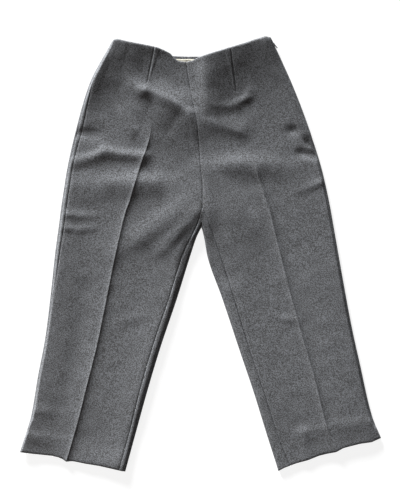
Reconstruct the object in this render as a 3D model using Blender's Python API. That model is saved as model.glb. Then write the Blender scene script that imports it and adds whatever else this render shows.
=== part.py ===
"""Cropped, tapered wool trousers laid flat, front up, with a side zip at the wearer's left.

All sizes are in millimetres. X runs to the wearer's left, Y from the hems to the waist, and Z up from the
surface that the trousers lie on. Each leg is a flattened tube: its back panel lies on the surface and wraps
round the folded edges, and its front panel lies on top.
"""

import math

import bmesh
import bpy
import numpy as np
from mathutils import Vector

MM = 0.001
CLOTH = 1.5
SEAM_GAP = 0.3
RIM = 1.9
ZIP_RIM = 3.5

# Rows of a leg from the waist to the hem, each as places in plan: the leg's outer edge, the pressed crease,
# the front panel's inner seam, the back panel's inner edge (its seam above the crotch, its fold below), and
# how far the back wraps over the outer edge on to the front.
RIGHT_LEG = [
    # name, outer, crease, front inner, back inner, outer wrap
    ("waist", (-169, 403), (-89, 394), (-27, 365), (-24, 376), 2.5),
    ("dart", (-211, 324), (-102, 316), (-20, 318), (-19, 316), 6.5),
    ("hip", (-236, 240), (-94, 244), (-6, 244), (-6, 236), 12.5),
    ("seat", (-254, 160), (-117, 160), (1, 160), (1, 145), 10.5),
    ("low seat", (-260, 122), (-128, 124), (4, 126), (2, 80), 11.0),
    ("apex", (-263, 103), (-134, 103), (4, 109), (2, 51), 11.0),
    ("crotch", (-266, 82), (-141, 84), (4, 90), (-2, 44), 11.0),
    ("fork", (-268, 65), (-147, 63), (-2, 67), (-8, 31), 10.7),
    ("thigh", (-276, 6), (-161, 2), (-34, -3), (-20, -5), 9.5),
    ("over knee", (-284, -68), (-177, -77), (-60, -85), (-45, -85), 6.0),
    ("knee", (-295, -157), (-196, -170), (-92, -180), (-77, -180), 0.0),
    ("shin", (-309, -231), (-215, -246), (-115, -260), (-101, -260), 0.0),
    ("slit", (-322, -307), (-234, -321), (-134, -336), (-122, -336), 0.0),
    ("hem", (-343, -376), (-255, -394), (-155, -411), (-143, -413), 0.0),
]
LEFT_LEG = [
    # name, outer, crease, front inner, back inner, outer wrap
    ("waist", (136, 407), (58, 392), (-27, 365), (-24, 376), 0.0),
    ("dart", (176, 318), (68, 308), (-20, 318), (-19, 316), 0.0),
    ("hip", (205, 242), (87, 236), (-6, 244), (-6, 236), 0.0),
    ("seat", (230, 164), (106, 160), (1, 160), (1, 145), 0.0),
    ("low seat", (240, 122), (118, 124), (4, 126), (2, 80), 0.0),
    ("apex", (244, 103), (124, 103), (4, 109), (2, 51), 0.0),
    ("crotch", (248, 82), (131, 84), (4, 90), (4, 44), 0.0),
    ("fork", (251, 65), (136, 63), (13, 69), (7, 31), 0.0),
    ("thigh", (261, 8), (151, 2), (39, -5), (13, -3), 0.0),
    ("over knee", (273, -60), (170, -72), (64, -83), (41, -83), 0.0),
    ("knee", (288, -140), (196, -165), (94, -182), (74, -182), 0.0),
    ("shin", (303, -208), (218, -241), (121, -262), (101, -262), 0.0),
    ("slit", (326, -307), (240, -328), (149, -349), (128, -349), 0.0),
    ("hem", (343, -349), (260, -375), (170, -402), (148, -411), 0.0),
]
APEX_ROW = 5
CROTCH_ROW = 6
SLIT_ROW = 12
# Steps from each row to the next, and how far they crowd toward its start (over 1) or its end (under 1).
SPANS = (6, 7, 6, 4, 3, 6, 2, 3, 4, 5, 4, 4, 4)
CROWDING = (1, 1, 1, 1, 0.5, 2, 1, 1, 1, 1, 1, 1, 1)

# Cut edges, as x and y along each: the front's dipped waist, the back's waist and the two hems.
FRONT_WAIST = [
    (-169, 403), (-166, 406.5), (-157, 408), (-136, 403), (-119, 400), (-97, 396), (-80, 392), (-66, 386),
    (-57, 381), (-50, 373), (-42, 367), (-27, 365), (-14, 368), (-5, 373), (7, 377), (29, 384), (55, 392),
    (82, 400), (102, 407), (123, 413), (133, 411), (136, 407),
]
BACK_WAIST = [
    (-169, 403), (-166, 406.5), (-160, 406), (-96, 388), (-52, 377), (-24, 376), (6, 376), (66, 386),
    (128, 403), (136, 407),
]
RIGHT_HEM = [
    (-343, -376), (-320, -379), (-282, -383), (-265, -387), (-255, -394), (-243, -393), (-218, -398),
    (-193, -402), (-157, -410), (-143, -413),
]
LEFT_HEM = [
    (148, -412), (159, -406), (180, -398), (205, -391), (225, -383), (241, -379), (257, -376), (272, -368),
    (303, -360), (325, -357), (343, -349),
]
WAIST_FADE = 45
HEM_FADE = 30

# The front's height over the surface, away from its edges and, from HEM_BEGINS down, near the hems.
LEVEL = 5.6
HEM_LEVEL = 4.6
HEM_BEGINS = -250
HEM_FULL = -400
LEAST_HEIGHT = 3.5
# How far in from an edge the cloth takes to rise, which is more at the inner edges near the crotch.
OUTER_BLEND = 13
INNER_BLEND = 9
CROTCH_BLEND = 20
CROTCH_MIDDLE = 20
CROTCH_SPREAD = 75
SEAM_DIP = 0.5
SEAM_DIP_WIDTH = 4

# Pressed creases, as the ridge's height and half width, from the row where each starts.
CREASES = {
    # leg: height, half width, y where it starts, y where it is full
    "right": (3.2, 9, 262, 200),
    "left": (1.7, 8, 175, 120),
}
# Waist darts: a line from the waist to the point, the hollow's depth and half width.
DARTS = [
    # leg, x and y at the waist, x and y at the point, depth, half width
    ("right", -87, 394, -102, 318, 0.9, 5),
    ("left", 57, 392, 69, 298, 0.9, 5),
]
# Folds: a ridge, or a hollow if negative, along a line. Its half width differs from side to side, and it
# fades past its ends over FOLD_END of their mean. FOLD_BLEND is how sharply one gives way to another.
FOLD_END = 1.2
FOLD_BLEND = 4
FOLDS = [
    # name, from x, y, to x, y, height, half width on the line's left-hand side and on its right-hand side
    ("right waist roll", -130, 424, -108, 421, 4.0, 20, 74),
    ("right side roll", -176, 372, -220, 284, 1.2, 40, 10),
    ("right waist hollow", -180, 312, -140, 306, -1.2, 34, 26),
    ("right waist dip", -80, 386, -30, 366, -0.6, 20, 30),
    ("right chevron, outer", -136, 318, -106, 303, 2.4, 13, 30),
    ("right chevron, middle", -104, 308, -58, 290, 3.4, 22, 62),
    ("right chevron, inner", -58, 290, -16, 254, 3.2, 34, 56),
    ("right hip hollow", -116, 206, -20, 200, -1.2, 26, 24),
    ("right upper band, outer", -233, 181, -183, 197, 1.7, 10, 11),
    ("right upper band, inner", -183, 197, -108, 188, 2.2, 10, 10),
    ("right lower band, outer", -212, 136, -128, 139, 2.2, 16, 14),
    ("right lower band, inner", -128, 139, -52, 138, 2.6, 20, 14),
    ("right crotch drag, lower", -156, 15, -106, 40, 1.3, 16, 14),
    ("right crotch drag, middle", -106, 40, -50, 79, 1.9, 18, 14),
    ("right crotch drag, upper", -50, 79, -6, 124, 1.7, 16, 12),
    ("right inner drag", -62, 30, -16, 98, 1.8, 12, 10),
    ("right edge hollow", -229, 230, -198, 228, -1.5, 10, 10),
    ("right inner leg swell, lower", -143, -335, -115, -201, 2.0, 30, 12),
    ("right inner leg swell, upper", -115, -201, -84, -90, 2.0, 30, 12),
    ("right outer leg hollow", -244, -277, -218, -68, -1.2, 20, 22),
    ("left waist roll", 68, 423, 90, 430, 4.2, 20, 74),
    ("left centre ridge", 11, 372, 15, 282, 2.6, 40, 20),
    ("left dart arc, inner", 31, 281, 68, 284, 1.4, 12, 10),
    ("left dart arc, outer", 68, 284, 91, 301, 2.2, 10, 10),
    ("left hip swell", 30, 250, 76, 232, 2.0, 20, 10),
    ("left band, inner", 10, 165, 104, 171, 2.3, 20, 12),
    ("left band, outer", 104, 171, 168, 163, 1.2, 10, 10),
    ("left edge hollow, upper", 168, 231, 197, 229, -1.4, 10, 10),
    ("left edge hollow, lower", 188, 188, 216, 187, -1.8, 10, 10),
    ("left centre fold", 20, 60, 12, 150, 1.4, 10, 16),
    ("left thigh drag", 46, 130, 100, 50, 1.1, 16, 18),
    ("left inner thigh hollow", 46, -40, 22, 50, -1.8, 14, 20),
    ("left hem fold", 189, -340, 235, -332, 0.9, 10, 14),
]

# Columns: along each panel's turned edge, and as shares of the way across its flat.
FRONT_TURN_COLUMNS = 5
FRONT_FLAT = (0.07, 0.14, 0.22, 0.3, 0.38, 0.45, 0.5, 0.55, 0.62, 0.7, 0.78, 0.86, 0.93, 1)
RIM_COLUMNS = 5
OVER_COLUMNS = 2
BACK_FLAT = (0.15, 0.38, 0.62, 0.85)
FRONT_BESIDE_TURN = 6
FLAT_BESIDE_TURN = 9
OPEN_LIP_TURN = 1.2

# Where the back starts to go over the top of an edge, past the rim's quarter turn, and where it fully does.
OVER_BEGINS = 1
OVER_FULL = 5

# The slits at the outer seams: the back's edge stays this far inside the front's splayed corner.
SLIT_INSET = {"right": 9, "left": 8}
SLIT_OPENS = 14
SLIT_TOP = {"right": -307, "left": -318}
# The zip's lips come together over ZIP_CLOSES below it, and ZIP_SHELF is the flat strip over its tapes.
ZIP_CLOSES = 40
ZIP_SHELF = 16
# The crotch: the back's seam ends this share of the way up the centre seam, and its wall is pressed thinner
# where it turns there.
CROTCH_REACH = 0.95
TURN_PRESSED = 0.33
TURN_ROWS = 0.5
SHORT_REACH = 0.5
FAR = 400

# The waist tape, inside the back waist.
TAPE_X = (-47, -4)
TAPE_BELOW_WAIST = 5.6
TAPE_WIDTH = 13
TAPE_THICK = 0.8
TAPE_COLUMNS = 12

# The side zip, by its height over the surface and its depth behind the lips of the opening.
ZIP_TOP = 401
ZIP_BOTTOM = 232
ZIP_ROWS = 12
CHAIN_DEPTH = (2.2, 3.2)
CHAIN_HALF = 1.5
STRIP_DEPTH = (3.5, 13)
STRIP_NEAR = 0.25
STRIP_FAR = 1.05
PLATE_DEPTH = (1.3, 1.9)
PLATE_ALONG = (-1.4, 6.0)
PIVOT_DEPTH = -0.2
PIVOT_Y = 400.5
LUG_RADIUS = 1.15
LUG_GAP_HALF = 0.9
PIN_RADIUS = 0.45
EYE_RADIUS = 1.15
EYE_BORE = 0.75
EYE_HALF = 0.6
PULL_START = 1.9
PLATE_OVERLAP = 0.3
PIN_SEAT = 0.3
NECK_SHARE = 0.55
DRUM_SIDES = 24
PULL_LENGTH = 11.4
PULL_THICK = 1.6
PULL_HALF = 1.5
PULL_SPLAY = math.radians(13)
EDGE_STEP = 4


def monotone(knots, values, at):
    """Values read at places between knots on a smooth curve that never swings past them."""
    knots = np.asarray(knots, float)
    values = np.asarray(values, float)
    step = np.diff(knots)
    rise = np.diff(values) / step
    slope = np.empty_like(values)
    slope[0] = rise[0]
    slope[-1] = rise[-1]
    same = rise[1:] * rise[:-1] > 0
    safe = np.where(same, rise[1:] + rise[:-1], 1)
    slope[1:-1] = np.where(same, 2 * rise[1:] * rise[:-1] / safe, 0)
    i = np.clip(np.searchsorted(knots, at, side="right") - 1, 0, len(step) - 1)
    t = (at - knots[i]) / step[i]
    h00 = (1 + 2 * t) * (1 - t) ** 2
    h10 = t * (1 - t) ** 2
    h01 = t * t * (3 - 2 * t)
    h11 = t * t * (t - 1)
    return h00 * values[i] + h10 * step[i] * slope[i] + h01 * values[i + 1] + h11 * step[i] * slope[i + 1]


def curve(points, at, corner=None):
    """Places on a smooth line through a leg's rows, with a sharp corner at one row if it has one."""
    points = np.asarray(points, float)
    if corner is None:
        runs = np.linalg.norm(np.diff(points, axis=0), axis=1)
        knots = np.concatenate([[0], np.cumsum(runs)])
        along = np.interp(at, np.arange(len(points)), knots)
        return np.stack([monotone(knots, points[:, k], along) for k in (0, 1)], axis=-1)
    above = curve(points[: corner + 1], np.minimum(at, corner))
    below = curve(points[corner:], np.maximum(at, corner) - corner)
    return np.where((at <= corner)[:, None], above, below)


def smooth(low, high, value):
    """0 below low, 1 above high, and an even S between them."""
    t = np.clip((value - low) / (high - low), 0, 1)
    return t * t * (3 - 2 * t)


def on_line(x, y, x1, y1, x2, y2):
    """Place along a segment as a share of it, distance to its left-hand side, and distance past its ends."""
    length = math.hypot(x2 - x1, y2 - y1)
    along_x, along_y = (x2 - x1) / length, (y2 - y1) / length
    along = ((x - x1) * along_x + (y - y1) * along_y) / length
    aside = (y - y1) * along_x - (x - x1) * along_y
    past = np.maximum(np.maximum(-along, along - 1), 0) * length
    return np.clip(along, 0, 1), aside, past


class Leg:
    """One leg's lines in plan, read at rows counted from the waist."""

    def __init__(self, side, rows, hem):
        self.side = side
        self.sign = -1 if side == "right" else 1
        self.hem = hem
        spans = enumerate(zip(SPANS, CROWDING))
        steps = [i + np.linspace(0, 1, n, endpoint=False) ** crowd for i, (n, crowd) in spans]
        self.at = np.concatenate(steps + [[float(len(rows) - 1)]])
        self.outer = curve([row[1] for row in rows], self.at)
        self.crease = curve([row[2] for row in rows], self.at)
        self.seam = curve([row[3] for row in rows], self.at, CROTCH_ROW)
        self.fold = curve([row[4] for row in rows], self.at, APEX_ROW)
        self.wrap = monotone(np.arange(len(rows)), [row[5] for row in rows], self.at)
        y = self.outer[:, 1]
        self.open = 1 - smooth(SLIT_TOP[side] - SLIT_OPENS, SLIT_TOP[side], y)
        zipped = 0.0 if side == "right" else 1.0
        self.zipped = zipped * smooth(ZIP_BOTTOM - ZIP_CLOSES, ZIP_BOTTOM, y)
        self.rim = RIM + (ZIP_RIM - RIM) * self.zipped
        self.toward = unit(self.crease - self.outer)

    def outer_end(self, way):
        """Where a panel ends round the outer edge: way is 1 for the front and -1 for the back."""
        end = round_to(self.wrap, self.rim) + way * SEAM_GAP / 2
        lip = way * OPEN_LIP_TURN * self.rim
        end = end + (lip - end) * self.zipped
        return end + (way * math.pi / 2 * self.rim - end) * self.open

    def lip_shift(self, end):
        """How far an open lip moves out, so that its cut edge lies on the leg's outer edge."""
        depth, _ = rim_section(end, self.rim, 0)
        return depth * np.maximum(self.open, self.zipped)


def unit(vectors):
    return vectors / np.linalg.norm(vectors, axis=-1, keepdims=True)


def round_to(depth, rim):
    """Distance round a rim, from its middle, to a place on its upper side this far in from the edge."""
    turned = rim * np.arccos(np.clip(1 - depth / rim, 0, 1))
    return np.where(depth < rim, turned, rim * math.pi / 2 + depth - rim)


def rim_section(run, rim, cut):
    """Depth inside the edge, and height, of a wall that runs round a rim and then along it, or of its face
    at this cut."""
    quarter = rim * math.pi / 2
    turn = np.clip(run / rim, -math.pi / 2, math.pi / 2)
    depth = rim - (rim - cut) * np.cos(turn) + np.maximum(np.abs(run) - quarter, 0)
    return depth, rim + (rim - cut) * np.sin(turn)


def runs_round(stop, rim):
    """Places along a turned edge, from the flat below: even where it stops below, and crowded round the rim
    where it goes on over the top."""
    quarter = (rim * math.pi / 2)[:, None]
    low = quarter + FLAT_BESIDE_TURN
    stop = stop[:, None]
    even = -low + (stop + low) * np.linspace(0, 1, 1 + RIM_COLUMNS + OVER_COLUMNS)
    over = quarter + (stop - quarter) * np.linspace(0, 1, OVER_COLUMNS + 1)[1:]
    placed = np.concatenate([-low, quarter * np.linspace(-1, 1, RIM_COLUMNS), over], axis=1)
    goes_over = smooth(quarter + OVER_BEGINS, quarter + OVER_FULL, stop)
    return even * (1 - goes_over) + placed * goes_over


def fit_ends(x, y, waist, hem):
    """Moves a grid's first and last rows to the cut edges, and fades that move over the rows beside them."""
    to_waist = np.interp(x[0], *np.transpose(waist)) - y[0]
    to_hem = np.interp(x[-1], *np.transpose(hem)) - y[-1]
    fade_waist = np.clip(1 - (y[0] - y) / WAIST_FADE, 0, 1) ** 2
    fade_hem = np.clip(1 - (y - y[-1]) / HEM_FADE, 0, 1) ** 2
    return y + to_waist * fade_waist + to_hem * fade_hem


def fold_relief(x, y):
    """Height of the folds, where those that meet run into one another and don't pile up."""
    ridges = np.zeros_like(x)
    hollows = np.zeros_like(x)
    for name, x1, y1, x2, y2, size, left, right in FOLDS:
        along, aside, past = on_line(x, y, x1, y1, x2, y2)
        across = aside / np.where(aside > 0, left, right)
        beyond = past / (FOLD_END * (left + right) / 2)
        shape = (abs(size) * np.exp(-(across**2) - beyond**2)) ** FOLD_BLEND
        if size > 0:
            ridges = ridges + shape
        else:
            hollows = hollows + shape
    return ridges ** (1 / FOLD_BLEND) - hollows ** (1 / FOLD_BLEND)


def lift(leg, x, y, from_outer, from_inner, from_crease, dip):
    """Height of the top cloth over the level of its rim, from its darts, crease, folds and seam's dip."""
    rim = leg.rim[:, None]
    shelf = ZIP_SHELF * leg.zipped[:, None]
    level = LEVEL + (HEM_LEVEL - LEVEL) * (1 - smooth(HEM_FULL, HEM_BEGINS, y))
    reach = RIM + INNER_BLEND + CROTCH_BLEND * np.exp(-(((y - CROTCH_MIDDLE) / CROTCH_SPREAD) ** 2))
    rise = smooth(rim + shelf, OUTER_BLEND + shelf, from_outer) * smooth(rim, reach, from_inner)
    ridge, half, start, full = CREASES[leg.side]
    folds = ridge * (1 - smooth(full, start, y)) * np.exp(-from_crease / half)
    for side, x1, y1, x2, y2, depth, width in DARTS:
        along, aside, past = on_line(x, y, x1, y1, x2, y2)
        folds = folds - depth * (1 - along) ** 0.5 * np.exp(-(aside**2 + past**2) / width**2)
    folds = folds + fold_relief(x, y)
    near = np.minimum(from_outer, from_inner)
    raised = (level - 2 * rim) * rise + (folds - dip) * smooth(rim, OUTER_BLEND, near)
    by_zip = leg.zipped[:, None] * (1 - smooth(ZIP_SHELF, 2 * ZIP_SHELF, from_outer))
    least = np.minimum(LEAST_HEIGHT - 2 * rim, 0) * (1 - by_zip)
    return np.maximum(raised, least)


def front_grid(leg, cut):
    """The front's outer face, or its inner face at cut: columns run from the outer seam to the inner."""
    end = leg.outer_end(1)
    shift = leg.lip_shift(end)
    last = np.maximum(end, leg.rim * math.pi / 2) + FRONT_BESIDE_TURN
    run = end[:, None] + (last - end)[:, None] * np.linspace(0, 1, FRONT_TURN_COLUMNS)
    depth, high = rim_section(run, leg.rim[:, None], cut)
    depth = depth - shift[:, None]
    turned = leg.outer[:, None] + leg.toward[:, None] * depth[..., None]
    inner = leg.seam + np.array([leg.sign * SEAM_GAP / 2, 0])
    begin = turned[:, -1]
    share = np.asarray(FRONT_FLAT)[None, :, None]
    to_crease = (leg.crease - begin)[:, None] * np.clip(2 * share, 0, 1)
    to_seam = (inner - leg.crease)[:, None] * np.clip(2 * share - 1, 0, 1)
    flat = begin[:, None] + to_crease + to_seam
    plan = np.concatenate([turned, flat], axis=1)
    x, y = plan[..., 0], plan[..., 1]
    from_crease = distance(plan, leg.crease)
    to_fold = distance(plan, leg.fold) + (leg.at < APEX_ROW - 1)[:, None] * FAR
    to_outer = distance(plan, leg.outer) + shift[:, None]
    high = np.concatenate([high, np.repeat(2 * leg.rim[:, None] - cut, len(FRONT_FLAT), axis=1)], axis=1)
    y = fit_ends(x, y, FRONT_WAIST, leg.hem)
    dip = SEAM_DIP * np.exp(-distance(plan, inner) / SEAM_DIP_WIDTH)
    return np.stack([x, y, high + lift(leg, x, y, to_outer, to_fold, from_crease, dip)], axis=-1)


def back_grid(leg, cut):
    """The back's outer face, or its inner face at cut: it runs round the outer edge and the inner fold."""
    end = leg.outer_end(-1)
    inset = SLIT_INSET[leg.side] * leg.open * smooth(SLIT_ROW, len(SPANS), leg.at)
    shift = leg.lip_shift(end) - inset
    run = runs_round(end, leg.rim)[:, ::-1]
    depth, outer_high = rim_section(run, leg.rim[:, None], cut)
    depth = depth - shift[:, None]
    outer_plan = leg.outer[:, None] + leg.toward[:, None] * depth[..., None]
    outer_top = run > 0

    inner_rim = np.full_like(leg.rim, RIM)
    quarter = inner_rim * math.pi / 2
    away = unit(leg.outer - leg.fold)
    centre = np.array([leg.sign * SEAM_GAP / 2, 0])
    turned = np.clip(leg.at - (APEX_ROW - 1), 0, 1)
    before = leg.at <= APEX_ROW
    climb = -quarter * (1 - turned)
    climb_depth, _ = rim_section(climb, inner_rim, 0)
    edge = np.where(before[:, None], leg.fold + centre - away * climb_depth[:, None], leg.fold)
    apex = leg.fold[np.argmin(np.abs(leg.at - APEX_ROW))]
    crotch = leg.seam[np.argmin(np.abs(leg.at - CROTCH_ROW))]
    share = np.clip(leg.at - APEX_ROW, 0, 1)[:, None]
    on_centre = apex + (crotch - apex) * share * CROTCH_REACH + centre
    seam_end = np.where((leg.at <= CROTCH_ROW)[:, None], on_centre, leg.seam - centre)
    across = seam_end - edge
    reach = np.linalg.norm(across, axis=1)
    up = across / np.maximum(reach, SHORT_REACH)[:, None]
    up = np.where((reach > SHORT_REACH)[:, None], up, unit(crotch - apex))
    stop = np.where(before, climb, round_to(reach, inner_rim))
    run = runs_round(stop, inner_rim)
    pressed = TURN_PRESSED * np.exp(-(((leg.at - APEX_ROW) / TURN_ROWS) ** 2))
    fold_depth, fold_high = rim_section(run, inner_rim[:, None], cut * (1 - pressed[:, None]))
    risen = np.clip(run / quarter[:, None] / 2 + 0.5, 0, 1)[..., None]
    way = unit(away[:, None] * (1 - risen) + up[:, None] * risen)
    fold_plan = edge[:, None] + way * fold_depth[..., None]
    fold_top = run > 0

    begin, finish = outer_plan[:, -1], fold_plan[:, 0]
    share = np.asarray(BACK_FLAT)[None, :, None]
    flat = begin[:, None] + (finish - begin)[:, None] * share
    plan = np.concatenate([outer_plan, flat, fold_plan], axis=1)
    on_flat = np.zeros(flat.shape[:2])
    high = np.concatenate([outer_high, on_flat + cut, fold_high], axis=1)
    top = np.concatenate([outer_top, on_flat > 0, fold_top], axis=1)
    to_outer = np.concatenate([depth, on_flat, np.full_like(fold_depth, FAR)], axis=1)
    to_fold = np.concatenate([np.full_like(depth, FAR), on_flat, fold_depth], axis=1)
    x, y = plan[..., 0], plan[..., 1]
    from_crease = distance(plan, leg.crease)
    y = fit_ends(x, y, BACK_WAIST, leg.hem)
    raised = np.where(top, lift(leg, x, y, to_outer, to_fold, from_crease, 0), 0)
    return np.stack([x, y, high + raised], axis=-1)


def distance(plan, line):
    return np.linalg.norm(plan - line[:, None], axis=-1)


def shell(name, outer, inner, material, collection):
    """A closed wall between two grids of the same size."""
    rows, columns = outer.shape[:2]
    mesh = bmesh.new()
    sheets = [[[mesh.verts.new(point * MM) for point in row] for row in grid] for grid in (outer, inner)]
    for sheet in sheets:
        for i in range(rows - 1):
            for j in range(columns - 1):
                mesh.faces.new((sheet[i][j], sheet[i][j + 1], sheet[i + 1][j + 1], sheet[i + 1][j]))
    around = [(0, j) for j in range(columns)] + [(i, columns - 1) for i in range(1, rows)]
    around += [(rows - 1, j) for j in range(columns - 2, -1, -1)] + [(i, 0) for i in range(rows - 2, 0, -1)]
    for a, b in zip(around, around[1:] + around[:1]):
        first, second = sheets
        mesh.faces.new((first[a[0]][a[1]], first[b[0]][b[1]], second[b[0]][b[1]], second[a[0]][a[1]]))
    return finish_mesh(name, mesh, material, collection)


def finish_mesh(name, mesh, material, collection):
    bmesh.ops.recalc_face_normals(mesh, faces=mesh.faces)
    data = bpy.data.meshes.new(name)
    mesh.to_mesh(data)
    mesh.free()
    data.materials.append(material)
    made = bpy.data.objects.new(name, data)
    collection.objects.link(made)
    return made


def edge_at(leg, y):
    """The leg's outer edge at a height in the picture, with the ways down it and out from it."""
    order = np.argsort(leg.outer[:, 1])
    heights = leg.outer[order, 1]
    x = np.interp(y, heights, leg.outer[order, 0])
    below = np.interp(y - EDGE_STEP, heights, leg.outer[order, 0])
    down = np.array([below - x, -EDGE_STEP])
    down = down / np.linalg.norm(down)
    return np.array([x, y]), down, np.array([-down[1], down[0]]) * leg.sign


def strip(name, leg, depths, heights, bottom, top, material, collection):
    """A flat strip along the side opening, from its depths behind the lips and its heights."""
    rows = []
    for y in np.linspace(top, bottom, ZIP_ROWS):
        edge, down, out = edge_at(leg, y)
        corners = [(depths[i], heights[j]) for i, j in ((0, 0), (1, 0), (1, 1), (0, 1))]
        rows.append([(*(edge - out * depth), high) for depth, high in corners])
    mesh = bmesh.new()
    rings = [[mesh.verts.new(Vector(point) * MM) for point in row] for row in rows]
    for ring, following in zip(rings, rings[1:]):
        for j in range(4):
            mesh.faces.new((ring[j], ring[(j + 1) % 4], following[(j + 1) % 4], following[j]))
    mesh.faces.new(rings[0])
    mesh.faces.new(rings[-1])
    return finish_mesh(name, mesh, material, collection)


def block(mesh, across, along, heights, origin, down, out):
    """A box in the zip's own directions: across is out from the pivot and along is down the edge."""
    corners = []
    for high in heights:
        for a, b in ((0, 0), (1, 0), (1, 1), (0, 1)):
            plan = origin + out * across[a] + down * along[b]
            corners.append(mesh.verts.new(Vector((plan[0], plan[1], high)) * MM))
    for i, j, k, m in ((0, 1, 2, 3), (4, 5, 6, 7), (0, 1, 5, 4), (1, 2, 6, 5), (2, 3, 7, 6), (3, 0, 4, 7)):
        mesh.faces.new((corners[i], corners[j], corners[k], corners[m]))


def drum(mesh, origin, radius, heights):
    """An upright cylinder on the hinge's axis."""
    rings = []
    for high in heights:
        turns = [2 * math.pi * k / DRUM_SIDES for k in range(DRUM_SIDES)]
        places = [(origin[0] + radius * math.cos(t), origin[1] + radius * math.sin(t), high) for t in turns]
        rings.append([mesh.verts.new(Vector(place) * MM) for place in places])
    for k in range(DRUM_SIDES):
        n = (k + 1) % DRUM_SIDES
        mesh.faces.new((rings[0][k], rings[0][n], rings[1][n], rings[1][k]))
    mesh.faces.new(rings[0])
    mesh.faces.new(rings[1])


def join(target, name, operation, cutters, shape, *sizes):
    """Joins a block or a drum to a solid, or cuts it away."""
    mesh = bmesh.new()
    shape(mesh, *sizes)
    helper = finish_mesh(name, mesh, target.data.materials[0], cutters)
    helper.hide_render = True
    helper.display_type = "WIRE"
    change = target.modifiers.new(name, "BOOLEAN")
    change.operation = operation
    change.solver = "EXACT"
    change.object = helper


def make_slider(leg, metal, collection, cutters):
    """The plate behind the lips, with two lugs that hold the pull's pin."""
    edge, down, out = edge_at(leg, PIVOT_Y)
    pivot = edge - out * PIVOT_DEPTH
    middle = ZIP_RIM
    whole = (middle - CHAIN_HALF, middle + CHAIN_HALF)
    mesh = bmesh.new()
    plate = (-PLATE_DEPTH[1] + PIVOT_DEPTH, -PLATE_DEPTH[0] + PIVOT_DEPTH)
    block(mesh, plate, PLATE_ALONG, whole, pivot, down, out)
    slider = finish_mesh("zip_slider", mesh, metal, collection)
    lug = (plate[1] - PLATE_OVERLAP, LUG_RADIUS)
    for name, heights in (
        ("upper_lug", (middle + LUG_GAP_HALF, middle + CHAIN_HALF)),
        ("lower_lug", (middle - CHAIN_HALF, middle - LUG_GAP_HALF)),
    ):
        length = (-LUG_RADIUS, LUG_RADIUS)
        join(slider, name, "UNION", cutters, block, lug, length, heights, pivot, down, out)
    pin = (middle - LUG_GAP_HALF - PIN_SEAT, middle + LUG_GAP_HALF + PIN_SEAT)
    join(slider, "pin", "UNION", cutters, drum, pivot, PIN_RADIUS, pin)
    return slider


def make_pull(leg, metal, collection, cutters):
    """The pull tab: a flat bar with an eye round the slider's pin, its origin on the pin."""
    edge, down, out = edge_at(leg, PIVOT_Y)
    pivot = edge - out * PIVOT_DEPTH
    along = down * math.cos(PULL_SPLAY) + out * math.sin(PULL_SPLAY)
    side = out * math.cos(PULL_SPLAY) - down * math.sin(PULL_SPLAY)
    middle = ZIP_RIM
    eye = (middle - EYE_HALF, middle + EYE_HALF)
    mesh = bmesh.new()
    width = (-PULL_THICK / 2, PULL_THICK / 2)
    thick = (middle - PULL_HALF, middle + PULL_HALF)
    block(mesh, width, (PULL_START, PULL_LENGTH), thick, pivot, along, side)
    pull = finish_mesh("zip_pull", mesh, metal, collection)
    neck = (-EYE_RADIUS * NECK_SHARE, EYE_RADIUS * NECK_SHARE)
    reach = (0, PULL_START + PLATE_OVERLAP)
    join(pull, "pull_neck", "UNION", cutters, block, neck, reach, eye, pivot, along, side)
    join(pull, "pull_eye", "UNION", cutters, drum, pivot, EYE_RADIUS, eye)
    bore = (middle - CHAIN_HALF, middle + CHAIN_HALF)
    join(pull, "pull_bore", "DIFFERENCE", cutters, drum, pivot, EYE_BORE, bore)
    at = Vector((pivot[0], pivot[1], middle)) * MM
    for made in [pull] + [change.object for change in pull.modifiers]:
        for vertex in made.data.vertices:
            vertex.co -= at
        made.location = at
    return pull


def waist_tape(cloth, collection):
    """The pale tape on the inside of the back waist, following the waist's edge."""
    xs = np.linspace(*TAPE_X, TAPE_COLUMNS)
    top = np.interp(xs, *np.transpose(BACK_WAIST)) - TAPE_BELOW_WAIST
    grids = []
    for high in (CLOTH + SEAM_GAP + TAPE_THICK, CLOTH + SEAM_GAP):
        rows = [np.stack([xs, top - down, np.full_like(xs, high)], axis=-1) for down in (0, TAPE_WIDTH)]
        grids.append(np.stack(rows))
    return shell("waist_tape", grids[0], grids[1], cloth, collection)


def material(name, colour, roughness, metallic=0.0):
    made = bpy.data.materials.new(name)
    made.use_nodes = True
    shader = made.node_tree.nodes["Principled BSDF"]
    shader.inputs["Base Color"].default_value = (*colour, 1)
    shader.inputs["Roughness"].default_value = roughness
    shader.inputs["Metallic"].default_value = metallic
    return made


def new_collection(name):
    made = bpy.data.collections.new(name)
    bpy.context.scene.collection.children.link(made)
    return made


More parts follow.
